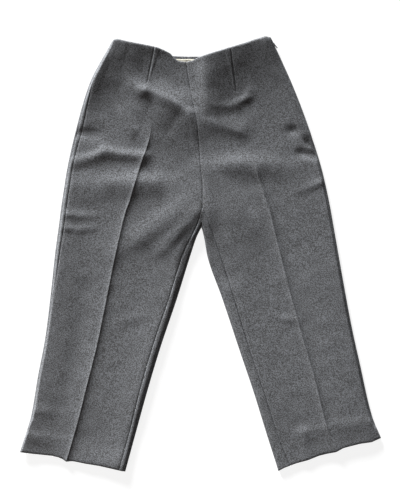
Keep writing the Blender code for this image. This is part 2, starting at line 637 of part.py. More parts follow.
def main():
    for old in list(bpy.data.objects):
        bpy.data.objects.remove(old)
    trousers = new_collection("trousers")
    cutters = new_collection("cutters")
    cutters.hide_render = True
    flannel = material("grey_flannel", (0.13, 0.13, 0.13), 0.95)
    cream = material("cream_tape", (0.62, 0.58, 0.47), 0.9)
    woven = material("black_zip_tape", (0.012, 0.012, 0.014), 0.9)
    metal = material("dark_zip_metal", (0.05, 0.05, 0.05), 0.45, 1.0)
    right = Leg("right", RIGHT_LEG, RIGHT_HEM)
    left = Leg("left", LEFT_LEG, LEFT_HEM)
    for leg in (right, left):
        shell("front_" + leg.side, front_grid(leg, 0), front_grid(leg, CLOTH), flannel, trousers)
        shell("back_" + leg.side, back_grid(leg, 0), back_grid(leg, CLOTH), flannel, trousers)
    waist_tape(cream, trousers)
    for name, near, far in (
        ("zip_tape_front", ZIP_RIM + STRIP_NEAR, ZIP_RIM + STRIP_FAR),
        ("zip_tape_back", ZIP_RIM - STRIP_FAR, ZIP_RIM - STRIP_NEAR),
    ):
        strip(name, left, STRIP_DEPTH, (near, far), ZIP_BOTTOM, ZIP_TOP, woven, trousers)
    chain = (ZIP_RIM - CHAIN_HALF, ZIP_RIM + CHAIN_HALF)
    strip("zip_chain", left, CHAIN_DEPTH, chain, ZIP_BOTTOM, ZIP_TOP, metal, trousers)
    make_slider(left, metal, trousers, cutters)
    make_pull(left, metal, trousers, cutters)


main()
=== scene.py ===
"""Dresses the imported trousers: flannel panels with folds, creases and darts, the waist tape and the side zip,
on a light table seen from straight above. Sizes in the tables are millimetres, in the part's frame."""

import math

import bpy
import numpy as np
from bpy.props import FloatProperty, FloatVectorProperty, PointerProperty
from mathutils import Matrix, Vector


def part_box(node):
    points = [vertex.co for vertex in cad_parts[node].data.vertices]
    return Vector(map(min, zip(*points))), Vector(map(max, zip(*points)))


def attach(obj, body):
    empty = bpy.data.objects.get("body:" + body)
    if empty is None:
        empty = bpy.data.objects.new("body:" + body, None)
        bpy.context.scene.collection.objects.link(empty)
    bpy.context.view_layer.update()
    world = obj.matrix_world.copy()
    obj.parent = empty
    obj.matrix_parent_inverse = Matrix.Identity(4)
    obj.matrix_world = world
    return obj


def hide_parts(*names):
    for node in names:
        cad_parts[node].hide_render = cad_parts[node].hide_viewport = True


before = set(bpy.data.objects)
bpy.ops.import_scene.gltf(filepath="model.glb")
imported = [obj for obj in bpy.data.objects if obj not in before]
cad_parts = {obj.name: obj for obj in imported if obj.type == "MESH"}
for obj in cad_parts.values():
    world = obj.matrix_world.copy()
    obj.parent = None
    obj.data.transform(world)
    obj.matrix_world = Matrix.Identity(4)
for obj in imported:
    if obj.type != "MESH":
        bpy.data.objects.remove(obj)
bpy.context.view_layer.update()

bl_info = {
    "name": "Laid-flat wool trousers",
    "version": (1, 0, 0),
    "blender": (4, 5, 0),
    "location": "View3D > Sidebar > Trousers",
    "description": "Builds cropped flannel trousers laid flat, with their folds, zip and stage",
    "category": "Add Mesh",
}

MM = 0.001
# Radius of the turned edges, and of the zip's, and the gap at a seam.
RIM = 1.9
ZIP_RIM = 3.5
SEAM_GAP = 0.12

# Rows of a leg from the waist to the hem: places of the outer edge, crease, front inner seam and back inner
# edge, and how far the back wraps over the outer edge.
RIGHT_LEG = [
    ((-169, 403), (-89, 394), (-27, 365), (-24, 376), 2.5),
    ((-211, 324), (-102, 316), (-20, 318), (-19, 316), 6.5),
    ((-236, 240), (-94, 244), (-6, 244), (-6, 236), 12.5),
    ((-254, 160), (-117, 160), (1, 160), (1, 145), 10.5),
    ((-260, 122), (-128, 124), (4, 126), (2, 80), 11),
    ((-263, 103), (-134, 103), (4, 109), (2, 51), 11),
    ((-266, 82), (-141, 84), (4, 90), (-2, 44), 11),
    ((-268, 65), (-147, 63), (-2, 67), (-8, 31), 10.7),
    ((-276, 6), (-161, 2), (-34, -3), (-20, -5), 9.5),
    ((-284, -68), (-177, -77), (-60, -85), (-45, -85), 6),
    ((-295, -157), (-196, -170), (-92, -180), (-77, -180), 0),
    ((-309, -231), (-215, -246), (-115, -260), (-101, -260), 0),
    ((-322, -307), (-234, -321), (-134, -336), (-122, -336), 0),
    ((-343, -376), (-255, -394), (-155, -411), (-143, -413), 0),
]
LEFT_LEG = [
    ((136, 407), (58, 392), (-27, 365), (-24, 376), 0),
    ((176, 318), (68, 308), (-20, 318), (-19, 316), 0),
    ((205, 242), (87, 236), (-6, 244), (-6, 236), 0),
    ((230, 164), (106, 160), (1, 160), (1, 145), 0),
    ((240, 122), (118, 124), (4, 126), (2, 80), 0),
    ((244, 103), (124, 103), (4, 109), (2, 51), 0),
    ((248, 82), (131, 84), (4, 90), (4, 44), 0),
    ((251, 65), (136, 63), (13, 69), (7, 31), 0),
    ((261, 8), (151, 2), (39, -5), (13, -3), 0),
    ((273, -60), (170, -72), (64, -83), (41, -83), 0),
    ((288, -140), (196, -165), (94, -182), (74, -182), 0),
    ((303, -208), (218, -241), (121, -262), (101, -262), 0),
    ((326, -307), (240, -328), (149, -349), (128, -349), 0),
    ((343, -349), (260, -375), (170, -402), (148, -411), 0),
]
APEX_ROW = 5
CROTCH_ROW = 6
SLIT_ROW = 12
# Steps from each row to the next, and how they crowd: toward its start over 1, its end under 1.
SPANS = (36, 42, 36, 20, 12, 24, 8, 20, 28, 30, 26, 26, 28)
CROWDING = (1, 1, 1, 1, 0.5, 2, 1, 1, 1, 1, 1, 1, 1)

# Cut edges, as x and y along each, and how far the rows beside them follow.
FRONT_WAIST = [
    (-169, 403), (-166, 406.5), (-157, 408), (-136, 403), (-119, 400), (-97, 396), (-80, 392), (-66, 386),
    (-57, 381), (-50, 373), (-42, 367), (-27, 365), (-14, 368), (-5, 373), (7, 377), (29, 384), (55, 392),
    (82, 400), (102, 407), (123, 413), (133, 411), (136, 407),
]
BACK_WAIST = [
    (-169, 403), (-166, 406.5), (-160, 406), (-96, 388), (-52, 377), (-24, 376), (6, 376), (66, 386),
    (128, 403), (136, 407),
]
RIGHT_HEM = [
    (-343, -376), (-320, -379), (-282, -383), (-265, -387), (-255, -394), (-243, -393), (-218, -398),
    (-193, -402), (-157, -410), (-143, -413),
]
LEFT_HEM = [
    (148, -412), (159, -406), (180, -398), (205, -391), (225, -383), (241, -379), (257, -376), (272, -368),
    (303, -360), (325, -357), (343, -349),
]
WAIST_FADE = 45
HEM_FADE = 30

# The front's height away from its edges, which sinks toward the hems between two places.
LEVEL = 5.6
HEM_LEVEL = 4.0
HEM_SINKS = (-400, -250)
# How far in from an edge the cloth rises, and how much further within a half width of the crotch.
OUTER_BLEND = 7
INNER_BLEND = 5
CROTCH_BLEND = (20, 60)
# The flat strip over the zip's tapes, the cloth's least height, and how near an edge folds fade.
ZIP_SHELF = 16
LEAST_HEIGHT = 3.3
EDGE_FADE = 5

# Pressed creases: height, half widths toward the outer and inner edges, y of the start, y where full.
CREASES = {"right": (2.4, 14, 8, 262, 200), "left": (2.5, 8, 6, 182, 150)}
# The share of a crease that is a sharp edge, and that edge's half width.
CREASE_SHARP = 0.35
CREASE_EDGE = 2.6
# Waist darts: x and y at the waist, x and y at the point.
DARTS = {"right": (-87, 394, -102, 318), "left": (57, 392, 69, 298)}
# A dart's groove and the low step over its turning end between two shares of its length. The turning narrows
# to the point, and a dimple lies past it.
DART_ENDS = (0.86, 1.05)
DART_GROOVE = (0.75, 1.3)
DART_STEP = 0.5
DART_TURNING = 11
DART_NARROWEST = 0.05
STEP_FOOT = (-0.8, 0.4)
STEP_EDGE = (2, 1.5)
DIMPLE = (0.5, 6)
DIMPLE_PAST = 3
DIMPLE_BEGINS = 0.9
# Folds: half widths on the left-hand and right-hand sides of a line, and the line as x, y and height, which
# is negative in a hollow. FOLD_END is the fade past its ends in half widths, and FOLD_CREST rounds its crest.
FOLD_END = 1.2
FOLD_CREST = 2.0
FOLDS = [
    # wearer's right leg, and the crotch
    ("waist roll", 20, 94, [(-172, 440, 10), (-128, 440, 13.5), (-100, 430, 11), (-84, 412, 5)]),
    ("side roll", 38, 12,
     [(-196, 414, 1.4), (-213, 372, 4.2), (-227, 332, 5.6), (-243, 280, 2.6), (-252, 236, 0.6)]),
    ("waist dip", 20, 30, [(-80, 386, -1.8), (-30, 366, -1.8)]),
    ("waist hollow", 50, 90, [(-190, 288, -2), (-150, 290, -2.8), (-128, 290, -1.8)]),
    ("chevron, tip", 9, 14, [(-128, 320, 1), (-110, 310, 2.4)]),
    ("chevron", 26, 66, [(-108, 306, 1.2), (-90, 302, 6.2), (-62, 291, 7.6), (-32, 270, 5.6), (-14, 246, 2)]),
    ("chevron edge", 8, 13, [(-102, 311, 1.4), (-62, 294, 2), (-24, 270, 2), (-12, 240, 1)]),
    ("hip swell", 14, 12, [(-150, 268, 1.2), (-128, 236, 1.8), (-116, 226, 0.8)]),
    ("upper band", 9, 13,
     [(-240, 176, 1.6), (-207, 184, 2.6), (-181, 196, 3.2), (-150, 190, 2.6), (-106, 187, 2.4)]),
    ("lower band", 18, 27,
     [(-222, 130, 1.2), (-170, 133, 2.6), (-128, 137, 3.5), (-88, 136, 3.6), (-56, 133, 1.6)]),
    ("crotch swell", 64, 76, [(-46, 62, 1.6), (-8, 74, 3.2), (36, 70, 2.8)]),
    ("crotch drag", 24, 20, [(-158, 6, 1.2), (-106, 34, 2.4), (-50, 74, 2.4), (-8, 116, 1)]),
    ("inner drag", 15, 11, [(-72, 8, 1.2), (-42, 40, 2.2), (-12, 76, 1.8)]),
    ("edge hollow", 9, 10, [(-229, 230, -1.8), (-198, 228, -1.4)]),
    ("edge pull, seat", 8, 7, [(-256, 76, 1.2), (-230, 72, 1), (-200, 72, 0.4)]),
    ("edge pull, thigh", 8, 7, [(-261, 50, 1.1), (-232, 46, 1), (-200, 50, 0.4)]),
    ("inner leg swell", 36, 10,
     [(-147, -400, 2.4), (-128, -320, 2.5), (-95, -201, 2.4), (-59, -90, 1.9), (-34, -10, 0.8)]),
    ("outer edge swell", 8, 42, [(-348, -380, 2.6), (-300, -180, 1.6), (-276, 6, 1.8), (-258, 130, 1.2)]),
    ("outer leg hollow", 20, 22, [(-258, -290, -0.8), (-232, -180, -1.4), (-218, -68, -1)]),
    ("knee dimple", 9, 10, [(-150, -128, 0.3), (-112, -116, 0.4)]),
    ("shin fold", 9, 10, [(-324, -296, 0.9), (-263, -302, 0.5)]),
    ("hem swell", 30, 30, [(-212, -398, 1.8), (-165, -402, 1.8)]),
    ("hem roll", 10, 14, [(-335, -343, 0.9), (-263, -353, 0.7)]),
    # wearer's left leg
    ("outer leg swell", 36, 60, [(236, -60, 1.4), (270, -210, 2.2), (302, -350, 2.6)]),
    ("waist roll", 20, 92, [(14, 416, 6), (30, 428, 12), (68, 438, 13.5), (96, 444, 12), (122, 448, 7)]),
    ("zip edge swell", 8, 20, [(131, 402, 1.6), (156, 344, 2), (178, 292, 1.6), (198, 244, 0.8)]),
    ("centre ridge", 40, 17, [(10, 388, 4), (12, 340, 6), (14, 300, 5.4), (14, 262, 1.4)]),
    ("dart arc", 8, 12, [(28, 281, 0.5), (55, 282, 1.1), (72, 286, 1.8), (87, 296, 2.3), (93, 309, 1.1)]),
    ("dart spot", 8, 8, [(84, 284, -0.8), (94, 288, -0.8)]),
    ("hip swell", 24, 12, [(30, 250, 1.4), (72, 235, 2.6)]),
    ("band", 17, 25, [(2, 166, 1.6), (50, 169, 3.2), (100, 173, 3.4), (136, 170, 2.2), (168, 164, 1)]),
    ("edge hollow, top", 9, 9, [(175, 235, -2), (190, 232, -1.4), (202, 214, -1.3)]),
    ("edge hollow, hip", 9, 9, [(192, 192, -2.1), (218, 187, -2.2)]),
    ("edge pull, seat", 8, 8, [(190, 120, 0.6), (234, 138, 1.2)]),
    ("centre fold", 10, 16, [(20, 60, 1.2), (12, 150, 0.6)]),
    ("thigh drag", 16, 18, [(46, 130, 1.3), (100, 50, 0.9)]),
    ("inner thigh hollow", 14, 20, [(46, -40, -1.8), (22, 50, -1.8)]),
    ("knee fold", 7, 8, [(143, -119, 0.4), (166, -124, 0.9), (189, -125, 0.4)]),
    ("hem fold, across", 10, 14, [(189, -340, 0.9), (235, -332, 0.8)]),
    ("hem fold, along", 8, 12, [(200, -391, 1), (195, -338, 0.8)]),
    ("hem roll", 10, 14, [(261, -324, 0.7), (337, -315, 0.9)]),
]
# Small unevenness of soft wool: wavelength, direction in degrees, height, phase.
RIPPLES = [
    (61, 12, 0.10, 0.3), (47, 74, 0.06, 1.9), (38, 128, 0.05, 4.1), (31, 41, 0.04, 2.6),
    (24, 97, 0.02, 5.2), (19, 157, 0.02, 0.9), (15, 63, 0.015, 3.3),
]
# How far each is bent across, and the bend's wavelength and phase against its own.
BEND, BEND_WAVE, BEND_PHASE = 0.9, 2.3, 2.1

# Beside a seam: the dip's depth and half width, and the turning's height, rise and end. Both fade within a
# share of the outer blend.
SEAM_DIP = (0.36, 1.2)
SEAM_TURNING = 0.15
TURNING_RISE = (1, 4)
TURNING_END = (11, 15)
SEAM_CLEAR = 0.8
# A cut edge's drop and half width, and the turnings at the waist and the hems, as width and height.
CUT_EDGE = (0.35, 1.6)
WAIST_TURNING = (34, 0.08)
HEM_TURNING = (36, 0.12)
HEM_RISE = (0, 5)
HEM_STEP = (2, 3)
# The least wrap whose seam shows on the front.
WRAP_SHOWS = 2

# The slits: how far the back's edge stays inside the front's splayed corner, and where they open.
SLIT_INSET = {"right": 9, "left": 8}
SLIT_OPENS = 14
SLIT_TOP = {"right": -307, "left": -318}
# The zip's ends, how far below it the lips close, and how far round its rim an open lip goes.
ZIP_TOP = 401
ZIP_BOTTOM = 232
ZIP_CLOSES = 40
OPEN_LIP_TURN = 1.2
# The share of the centre seam at which the back's seam ends, the least reach that gives a way of its own,
# and a distance past every blend.
CROTCH_REACH = 0.95
SHORT_REACH = 0.5
FAR = 400.0
# Columns on turned edges, over them and across each panel, the flat beside a turn on the front and on the
# back, and how far past the rim an edge begins to go over and fully does.
TURN_COLUMNS = 12
RIM_COLUMNS = 9
OVER_COLUMNS = 9
HALF_COLUMNS = 46
BACK_COLUMNS = 14
BESIDE_TURN = 6
FLAT_BESIDE = 9
GOES_OVER = (1, 5)

# The waist tape, with its slight waves as height and length.
TAPE_BELOW = 5.6
TAPE_WIDTH = 13
TAPE_THICK = 0.6
TAPE_INSET = 0.1
TAPE_COLUMNS, TAPE_ROWS = 90, 16
TAPE_SIDE_WAVE = (0.25, 5.0)
TAPE_SWELL = (0.12, 3.1)
TAPE_STITCH_ROW = 2

# The zip, with depths behind the lips. Each rank of teeth has its start in pitches and its level.
TOOTH_RANKS = ((0.0, ZIP_RIM - 1.35), (0.5, ZIP_RIM - 0.15))
TOOTH_DEPTH = 2.7
TOOTH_LENGTH = 0.46
TOOTH_SECTION = (0.9, 1.5)
RAIL_DEPTHS = (2.95, 3.2)
RAIL_HEIGHTS = (ZIP_RIM - 1.2, ZIP_RIM + 1.2)
# Its tapes: node, underside, top.
ZIP_STRIPS = (
    ("zip_tape_front", ZIP_RIM + 0.25, ZIP_RIM + 1.05),
    ("zip_tape_back", ZIP_RIM - 1.05, ZIP_RIM - 0.25),
)
STRIP_DEPTHS = (3.3, 13.4)
STRIP_INSET = 0.1
STRIP_COLUMNS = 12
STRIP_WAVE = (0.06, 2.2)

# Stitches: length in pitches, height in threads, how deep they sink, and the two threads.
STITCH_LENGTH, STITCH_HEIGHT, STITCH_SINK = 0.66, 0.8, 0.12
TAPE_THREAD, ZIP_THREAD = 0.4, 0.35
# The row beside the zip: its ends, and its distance in from the edge at one row of the leg.
SIDE_ROW_ENDS = (ZIP_BOTTOM - 6, ZIP_TOP - 4)
SIDE_ROW_INSET = 11
SIDE_ROW_AT = 40

# The stage: the floor, the picture's scale, size and middle, and the camera's base level in metres.
FLOOR_HALF, FLOOR_LEVEL = 6000.0, -0.6
PIXEL = 1.9
PICTURE_PIXELS = 500
PICTURE_MIDDLE = (-0.95, 8.1)
CLOTH_MIDDLE = 0.004
SENSOR = 36.0
QUARTER_TURN = 1.57


def number(name, description, default, most, least=0.0, **kind):
    """A number's property, from its least to its most."""
    return FloatProperty(name=name, description=description, default=default, min=least, max=most, **kind)


def length(name, description, default, least, most):
    """A length's property, in metres."""
    return number(name, description, default, most, least, unit="LENGTH", subtype="DISTANCE")


def angle(name, description, degrees, least):
    """An angle's property, up to a quarter turn."""
    return number(name, description, math.radians(degrees), QUARTER_TURN, least, subtype="ANGLE")


def colour(name, description, default):
    """A colour's property."""
    return FloatVectorProperty(
        name=name, description=description, default=default, min=0.0, max=1.0, size=3, subtype="COLOR",
    )


class TrousersCloth(bpy.types.PropertyGroup):
    """Sizes and colours of the cloth."""

    thickness: length("Cloth thickness", "Thickness of each panel's wall", 0.0012, 0.0005, 0.0015)
    fold_strength: number("Fold strength", "Height of the folds", 1.0, 1.5, subtype="FACTOR")
    crease_strength: number("Crease strength", "Height of the pressed creases", 1.0, 1.5, subtype="FACTOR")
    unevenness: number("Unevenness", "Height of the wool's small unevenness", 1.0, 2.0, subtype="FACTOR")
    grey: colour("Flannel", "Mean colour of the flannel", (0.0895, 0.0905, 0.094))
    tape_colour: colour("Waist tape", "Colour of the tape in the back waist", (0.56, 0.53, 0.44))


class TrousersZip(bpy.types.PropertyGroup):
    """Sizes and colours of the side zip."""

    tooth_pitch: length("Tooth pitch", "Distance between teeth in one rank", 0.0018, 0.001, 0.003)
    stitch_pitch: length("Stitch pitch", "Distance between stitches", 0.0026, 0.0015, 0.005)
    metal: colour("Zip metal", "Colour of the slider and the pull", (0.018, 0.018, 0.02))
    braid: colour("Zip tape", "Colour of the zip's woven tape", (0.02, 0.02, 0.022))


class TrousersStage(bpy.types.PropertyGroup):
    """The floor, the light and the camera."""

    key_strength: number("Key light", "Strength of the light from the waist's side", 19.9, 20.0)
    key_height: angle("Key height", "Height of the key light over the floor", 8.5, 0.1)
    key_side: angle("Key side", "How far left of the waist the key light stands", 24, -QUARTER_TURN)
    key_softness: angle("Key softness", "Angle that the key light fills", 16, 0.01)
    key_colour: colour("Key colour", "Colour of the key light", (0.965, 0.985, 1.0))
    fill_strength: number("Fill", "Strength of the even light from all round", 0.08, 5.0)
    fill_colour: colour("Fill colour", "Colour of the even light and the side light", (1.0, 0.93, 0.88))
    side_strength: number("Side light", "Power of the broad lamp at the hems' left", 6.0, 500.0, unit="POWER")
    side_place: FloatVectorProperty(
        name="Side light's place", description="Where the broad lamp hangs", default=(-1.3, -0.8, 0.8),
        size=3, unit="LENGTH", subtype="TRANSLATION",
    )
    side_width: length("Side light's width", "Width of the broad lamp", 1.0, 0.1, 4.0)
    camera_height: length("Camera height", "Height of the camera over the floor", 3.4, 1.0, 10.0)
    floor_colour: colour("Floor", "Colour of the floor", (0.22, 0.22, 0.22))
    floor_glow: number("Floor's own light", "Light that the floor gives off", 0.85, 2.0)


def monotone(knots, values, at):
    """Values on a cubic between knots, where each knot's slope is the harmonic mean of those beside it."""
    knots, values = np.asarray(knots, float), np.asarray(values, float)
    step = np.diff(knots)
    rise = np.diff(values) / step
    same = rise[1:] * rise[:-1] > 0
    safe = np.where(same, rise[1:] + rise[:-1], 1)
    slope = np.concatenate([rise[:1], np.where(same, 2 * rise[1:] * rise[:-1] / safe, 0), rise[-1:]])
    i = np.clip(np.searchsorted(knots, at, side="right") - 1, 0, len(step) - 1)
    t = (at - knots[i]) / step[i]
    start = (1 + 2 * t) * (1 - t) ** 2 * values[i] + t * (1 - t) ** 2 * step[i] * slope[i]
    return start + t * t * (3 - 2 * t) * values[i + 1] + t * t * (t - 1) * step[i] * slope[i + 1]


def curve(points, at, corner=None):
    """A smooth line through a leg's rows, read by its length, with a sharp corner at one row."""
    points = np.asarray(points, float)
    if corner is None:
        knots = np.concatenate([[0], np.cumsum(np.linalg.norm(np.diff(points, axis=0), axis=1))])
        along = np.interp(at, np.arange(len(points)), knots)
        return np.stack([monotone(knots, points[:, k], along) for k in (0, 1)], axis=-1)
    above = curve(points[: corner + 1], np.minimum(at, corner))
    below = curve(points[corner:], np.maximum(at, corner) - corner)
    return np.where((at <= corner)[:, None], above, below)


def smooth(low, high, value):
    """0 below low, 1 above high, and 3tt - 2ttt between."""
    t = np.clip((value - low) / (high - low), 0, 1)
    return t * t * (3 - 2 * t)


def between(rise, fall, value):
    """A low step, up between rise's two places and down between fall's."""
    return smooth(*rise, value) * (1 - smooth(*fall, value))


def bell(size, away):
    """A height times exp(-(d / w)^2), where size is the height and w."""
    return size[0] * np.exp(-((away / size[1]) ** 2))


def sine(size, along):
    """A height times sin(d / w), where size is the height and w."""
    return size[0] * np.sin(along / size[1])


def unit(vectors):
    """Each vector divided by its length."""
    return vectors / np.linalg.norm(vectors, axis=-1, keepdims=True)


def distance(plan, line):
    """From each place of a row to that row's place on a line."""
    return np.linalg.norm(plan - line[:, None], axis=-1)


def round_to(depth, rim):
    """Length run round a rim, from its middle, to this depth in from the edge on its upper side."""
    turned = rim * np.arccos(np.clip(1 - depth / rim, 0, 1))
    return np.where(depth < rim, turned, rim * math.pi / 2 + depth - rim)


def rim_section(run, rim, cut):
    """A wall on a half circle and then a straight: depth is rim less (rim - cut) times the turn's cosine,
    and height is rim plus (rim - cut) times its sine."""
    turn = np.clip(run / rim, -math.pi / 2, math.pi / 2)
    beyond = np.maximum(np.abs(run) - rim * math.pi / 2, 0)
    return rim - (rim - cut) * np.cos(turn) + beyond, rim + (rim - cut) * np.sin(turn)


def runs_round(stop, rim):
    """Places along a turned edge: even where it stops below, crowded round the rim where it goes over."""
    quarter = (rim * math.pi / 2)[:, None]
    low = quarter + FLAT_BESIDE
    stop = stop[:, None]
    even = -low + (stop + low) * np.linspace(0, 1, 1 + RIM_COLUMNS + OVER_COLUMNS)
    over = quarter + (stop - quarter) * np.linspace(0, 1, OVER_COLUMNS + 1)[1:]
    placed = np.concatenate([-low, quarter * np.linspace(-1, 1, RIM_COLUMNS), over], axis=1)
    goes_over = smooth(quarter + GOES_OVER[0], quarter + GOES_OVER[1], stop)
    return even * (1 - goes_over) + placed * goes_over


def crowded(start, end, power):
    """Shares from a start to an end, crowded toward both: (1 - cos) / 2, blended with even steps."""
    t = np.linspace(0, 1, HALF_COLUMNS)
    eased = (1 - np.cos(np.pi * t)) / 2 * power + t * (1 - power)
    return start + (end - start) * eased[1:]


class Leg:
    """One leg's lines in plan, read at rows counted from the waist."""

    def __init__(self, side, rows, hem):
        self.side = side
        self.sign = -1 if side == "right" else 1
        self.hem = hem
        spans = enumerate(zip(SPANS, CROWDING))
        steps = [i + np.linspace(0, 1, n, endpoint=False) ** crowd for i, (n, crowd) in spans]
        self.at = np.concatenate(steps + [[float(len(rows) - 1)]])
        self.outer, self.crease, self.seam, self.fold = (
            curve([row[k] for row in rows], self.at, corner)
            for k, corner in enumerate((None, None, CROTCH_ROW, APEX_ROW))
        )
        self.wrap = monotone(np.arange(len(rows)), [row[4] for row in rows], self.at)
        self.wrapped = (self.wrap > WRAP_SHOWS)[:, None]
        y = self.outer[:, 1]
        self.open = 1 - smooth(SLIT_TOP[side] - SLIT_OPENS, SLIT_TOP[side], y)
        self.zipped = (side == "left") * smooth(ZIP_BOTTOM - ZIP_CLOSES, ZIP_BOTTOM, y)
        self.rim = RIM + (ZIP_RIM - RIM) * self.zipped
        self.toward = unit(self.crease - self.outer)
        self.centre = np.array([self.sign * SEAM_GAP / 2, 0])

    def outer_end(self, way):
        """Where a panel ends round the outer edge: way is 1 for the front and -1 for the back."""
        end = round_to(self.wrap, self.rim) + way * SEAM_GAP / 2
        end = end + (way * OPEN_LIP_TURN * self.rim - end) * self.zipped
        return end + (way * math.pi / 2 * self.rim - end) * self.open

    def lip_shift(self, end):
        """How far an open lip moves out, so that its cut edge lies on the leg's outer edge."""
        depth, _ = rim_section(end, self.rim, 0)
        return depth * np.maximum(self.open, self.zipped)


def on_line(x, y, x1, y1, x2, y2):
    """Place along a line as a share of it, distance to its left, and its length."""
    whole = math.hypot(x2 - x1, y2 - y1)
    ux, uy = (x2 - x1) / whole, (y2 - y1) / whole
    return ((x - x1) * ux + (y - y1) * uy) / whole, (y - y1) * ux - (x - x1) * uy, whole


def fold_relief(x, y):
    """Sum of the folds. Along each stretch of its line a fold is its height there times exp(-(d / w)^p)
    across, with w by side, and exp(-(e / f)^2) past its ends. Where stretches meet, the higher holds."""
    total = np.zeros_like(x)
    for _, left, right, line in FOLDS:
        fade = FOLD_END * (left + right) / 2
        highest = np.zeros_like(x)
        for (x1, y1, h1), (x2, y2, h2) in zip(line, line[1:]):
            along, side, whole = on_line(x, y, x1, y1, x2, y2)
            past = np.maximum(np.maximum(-along, along - 1), 0) * whole
            high = abs(h1) + (abs(h2) - abs(h1)) * smooth(0, 1, along)
            across = np.abs(side) / np.where(side > 0, left, right)
            highest = np.maximum(highest, high * np.exp(-(across**FOLD_CREST) - (past / fade) ** 2))
        total += math.copysign(1, line[0][2]) * highest
    return total


def ripple_relief(x, y):
    """Sum of sine waves, each bent by a slower one across it."""
    total = np.zeros_like(x)
    for wave, degrees, high, phase in RIPPLES:
        a = math.radians(degrees)
        u = x * math.cos(a) + y * math.sin(a)
        v = y * math.cos(a) - x * math.sin(a)
        bend = BEND * np.sin(v * 2 * math.pi / (wave * BEND_WAVE) + BEND_PHASE * phase)
        total += high * np.sin(u * 2 * math.pi / wave + phase + bend)
    return total


def dart_relief(leg, x, y):
    """A stitched line, as a narrow groove, with the turning under one side of it as a low soft step."""
    along, off, whole = on_line(x, y, *DARTS[leg.side])
    off *= -leg.sign
    shown = 1 - smooth(*DART_ENDS, along)
    width = DART_TURNING * np.clip(1 - along, DART_NARROWEST, 1)
    step = DART_STEP * between(STEP_FOOT, (width - STEP_EDGE[0], width + STEP_EDGE[1]), off)
    past = np.maximum(along - 1, 0) * whole - DIMPLE_PAST
    dimple = bell(DIMPLE, np.hypot(off, past)) * (along > DIMPLE_BEGINS)
    return shown * (step - bell(DART_GROOVE, off)) + dimple


def top_lift(leg, x, y, gaps, across, settings):
    """Height of the top cloth over its rim: its level, creases, darts, folds and unevenness."""
    rim = leg.rim[:, None]
    shelf = ZIP_SHELF * leg.zipped[:, None]
    level = LEVEL + (HEM_LEVEL - LEVEL) * (1 - smooth(*HEM_SINKS, y))
    from_outer, from_inner = gaps
    reach = INNER_BLEND + bell(CROTCH_BLEND, y)
    rise = smooth(rim + shelf, OUTER_BLEND + shelf, from_outer) * smooth(rim, reach + RIM, from_inner)
    ridge, outward, inward, start, full = CREASES[leg.side]
    ridge = ridge * (1 - smooth(full, start, y)) * settings.crease_strength
    soft = np.exp(-np.abs(across) / np.where(across < 0, outward, inward))
    sharp = np.exp(-np.abs(across) / CREASE_EDGE)
    crease = ridge * (soft * (1 - CREASE_SHARP) + sharp * CREASE_SHARP)
    folds = crease + dart_relief(leg, x, y) + fold_relief(x, y) * settings.fold_strength
    folds = folds + ripple_relief(x, y) * settings.unevenness
    near = np.minimum(from_outer, from_inner)
    lift = (level - 2 * rim) * rise + folds * smooth(rim, EDGE_FADE, near)
    by_zip = leg.zipped[:, None] * (1 - smooth(ZIP_SHELF, 2 * ZIP_SHELF, from_outer))
    least = np.minimum(LEAST_HEIGHT - 2 * rim, 0) * (1 - by_zip)
    return np.maximum(lift, least)


def seam_relief(away, gap):
    """Beside a seam the cloth turns down, and further off its turning lifts it a little."""
    turning = SEAM_TURNING * between(TURNING_RISE, TURNING_END, away)
    return (turning - bell(SEAM_DIP, away)) * smooth(RIM, OUTER_BLEND * SEAM_CLEAR, gap)


def hem_relief(from_end, band, step):
    """A turned edge: rounded down, with the turning's own edge as a faint step further in."""
    ends = (band - HEM_STEP[0], band + HEM_STEP[1])
    return step * between(HEM_RISE, ends, from_end) - bell(CUT_EDGE, from_end)


def fit_ends(x, y, waist, hem):
    """Moves the first and last rows to the cut edges, fading over the rows beside them."""
    to_waist = np.interp(x[0], *np.transpose(waist)) - y[0]
    to_hem = np.interp(x[-1], *np.transpose(hem)) - y[-1]
    fade_waist = np.clip(1 - (y[0] - y) / WAIST_FADE, 0, 1) ** 2
    fade_hem = np.clip(1 - (y - y[-1]) / HEM_FADE, 0, 1) ** 2
    return y + to_waist * fade_waist + to_hem * fade_hem


FRONT_SHARES = np.concatenate([crowded(0, 0.5, power=0.6), crowded(0.5, 1, power=0.75)])
BACK_SHARES = np.linspace(0, 1, BACK_COLUMNS)[1:-1]


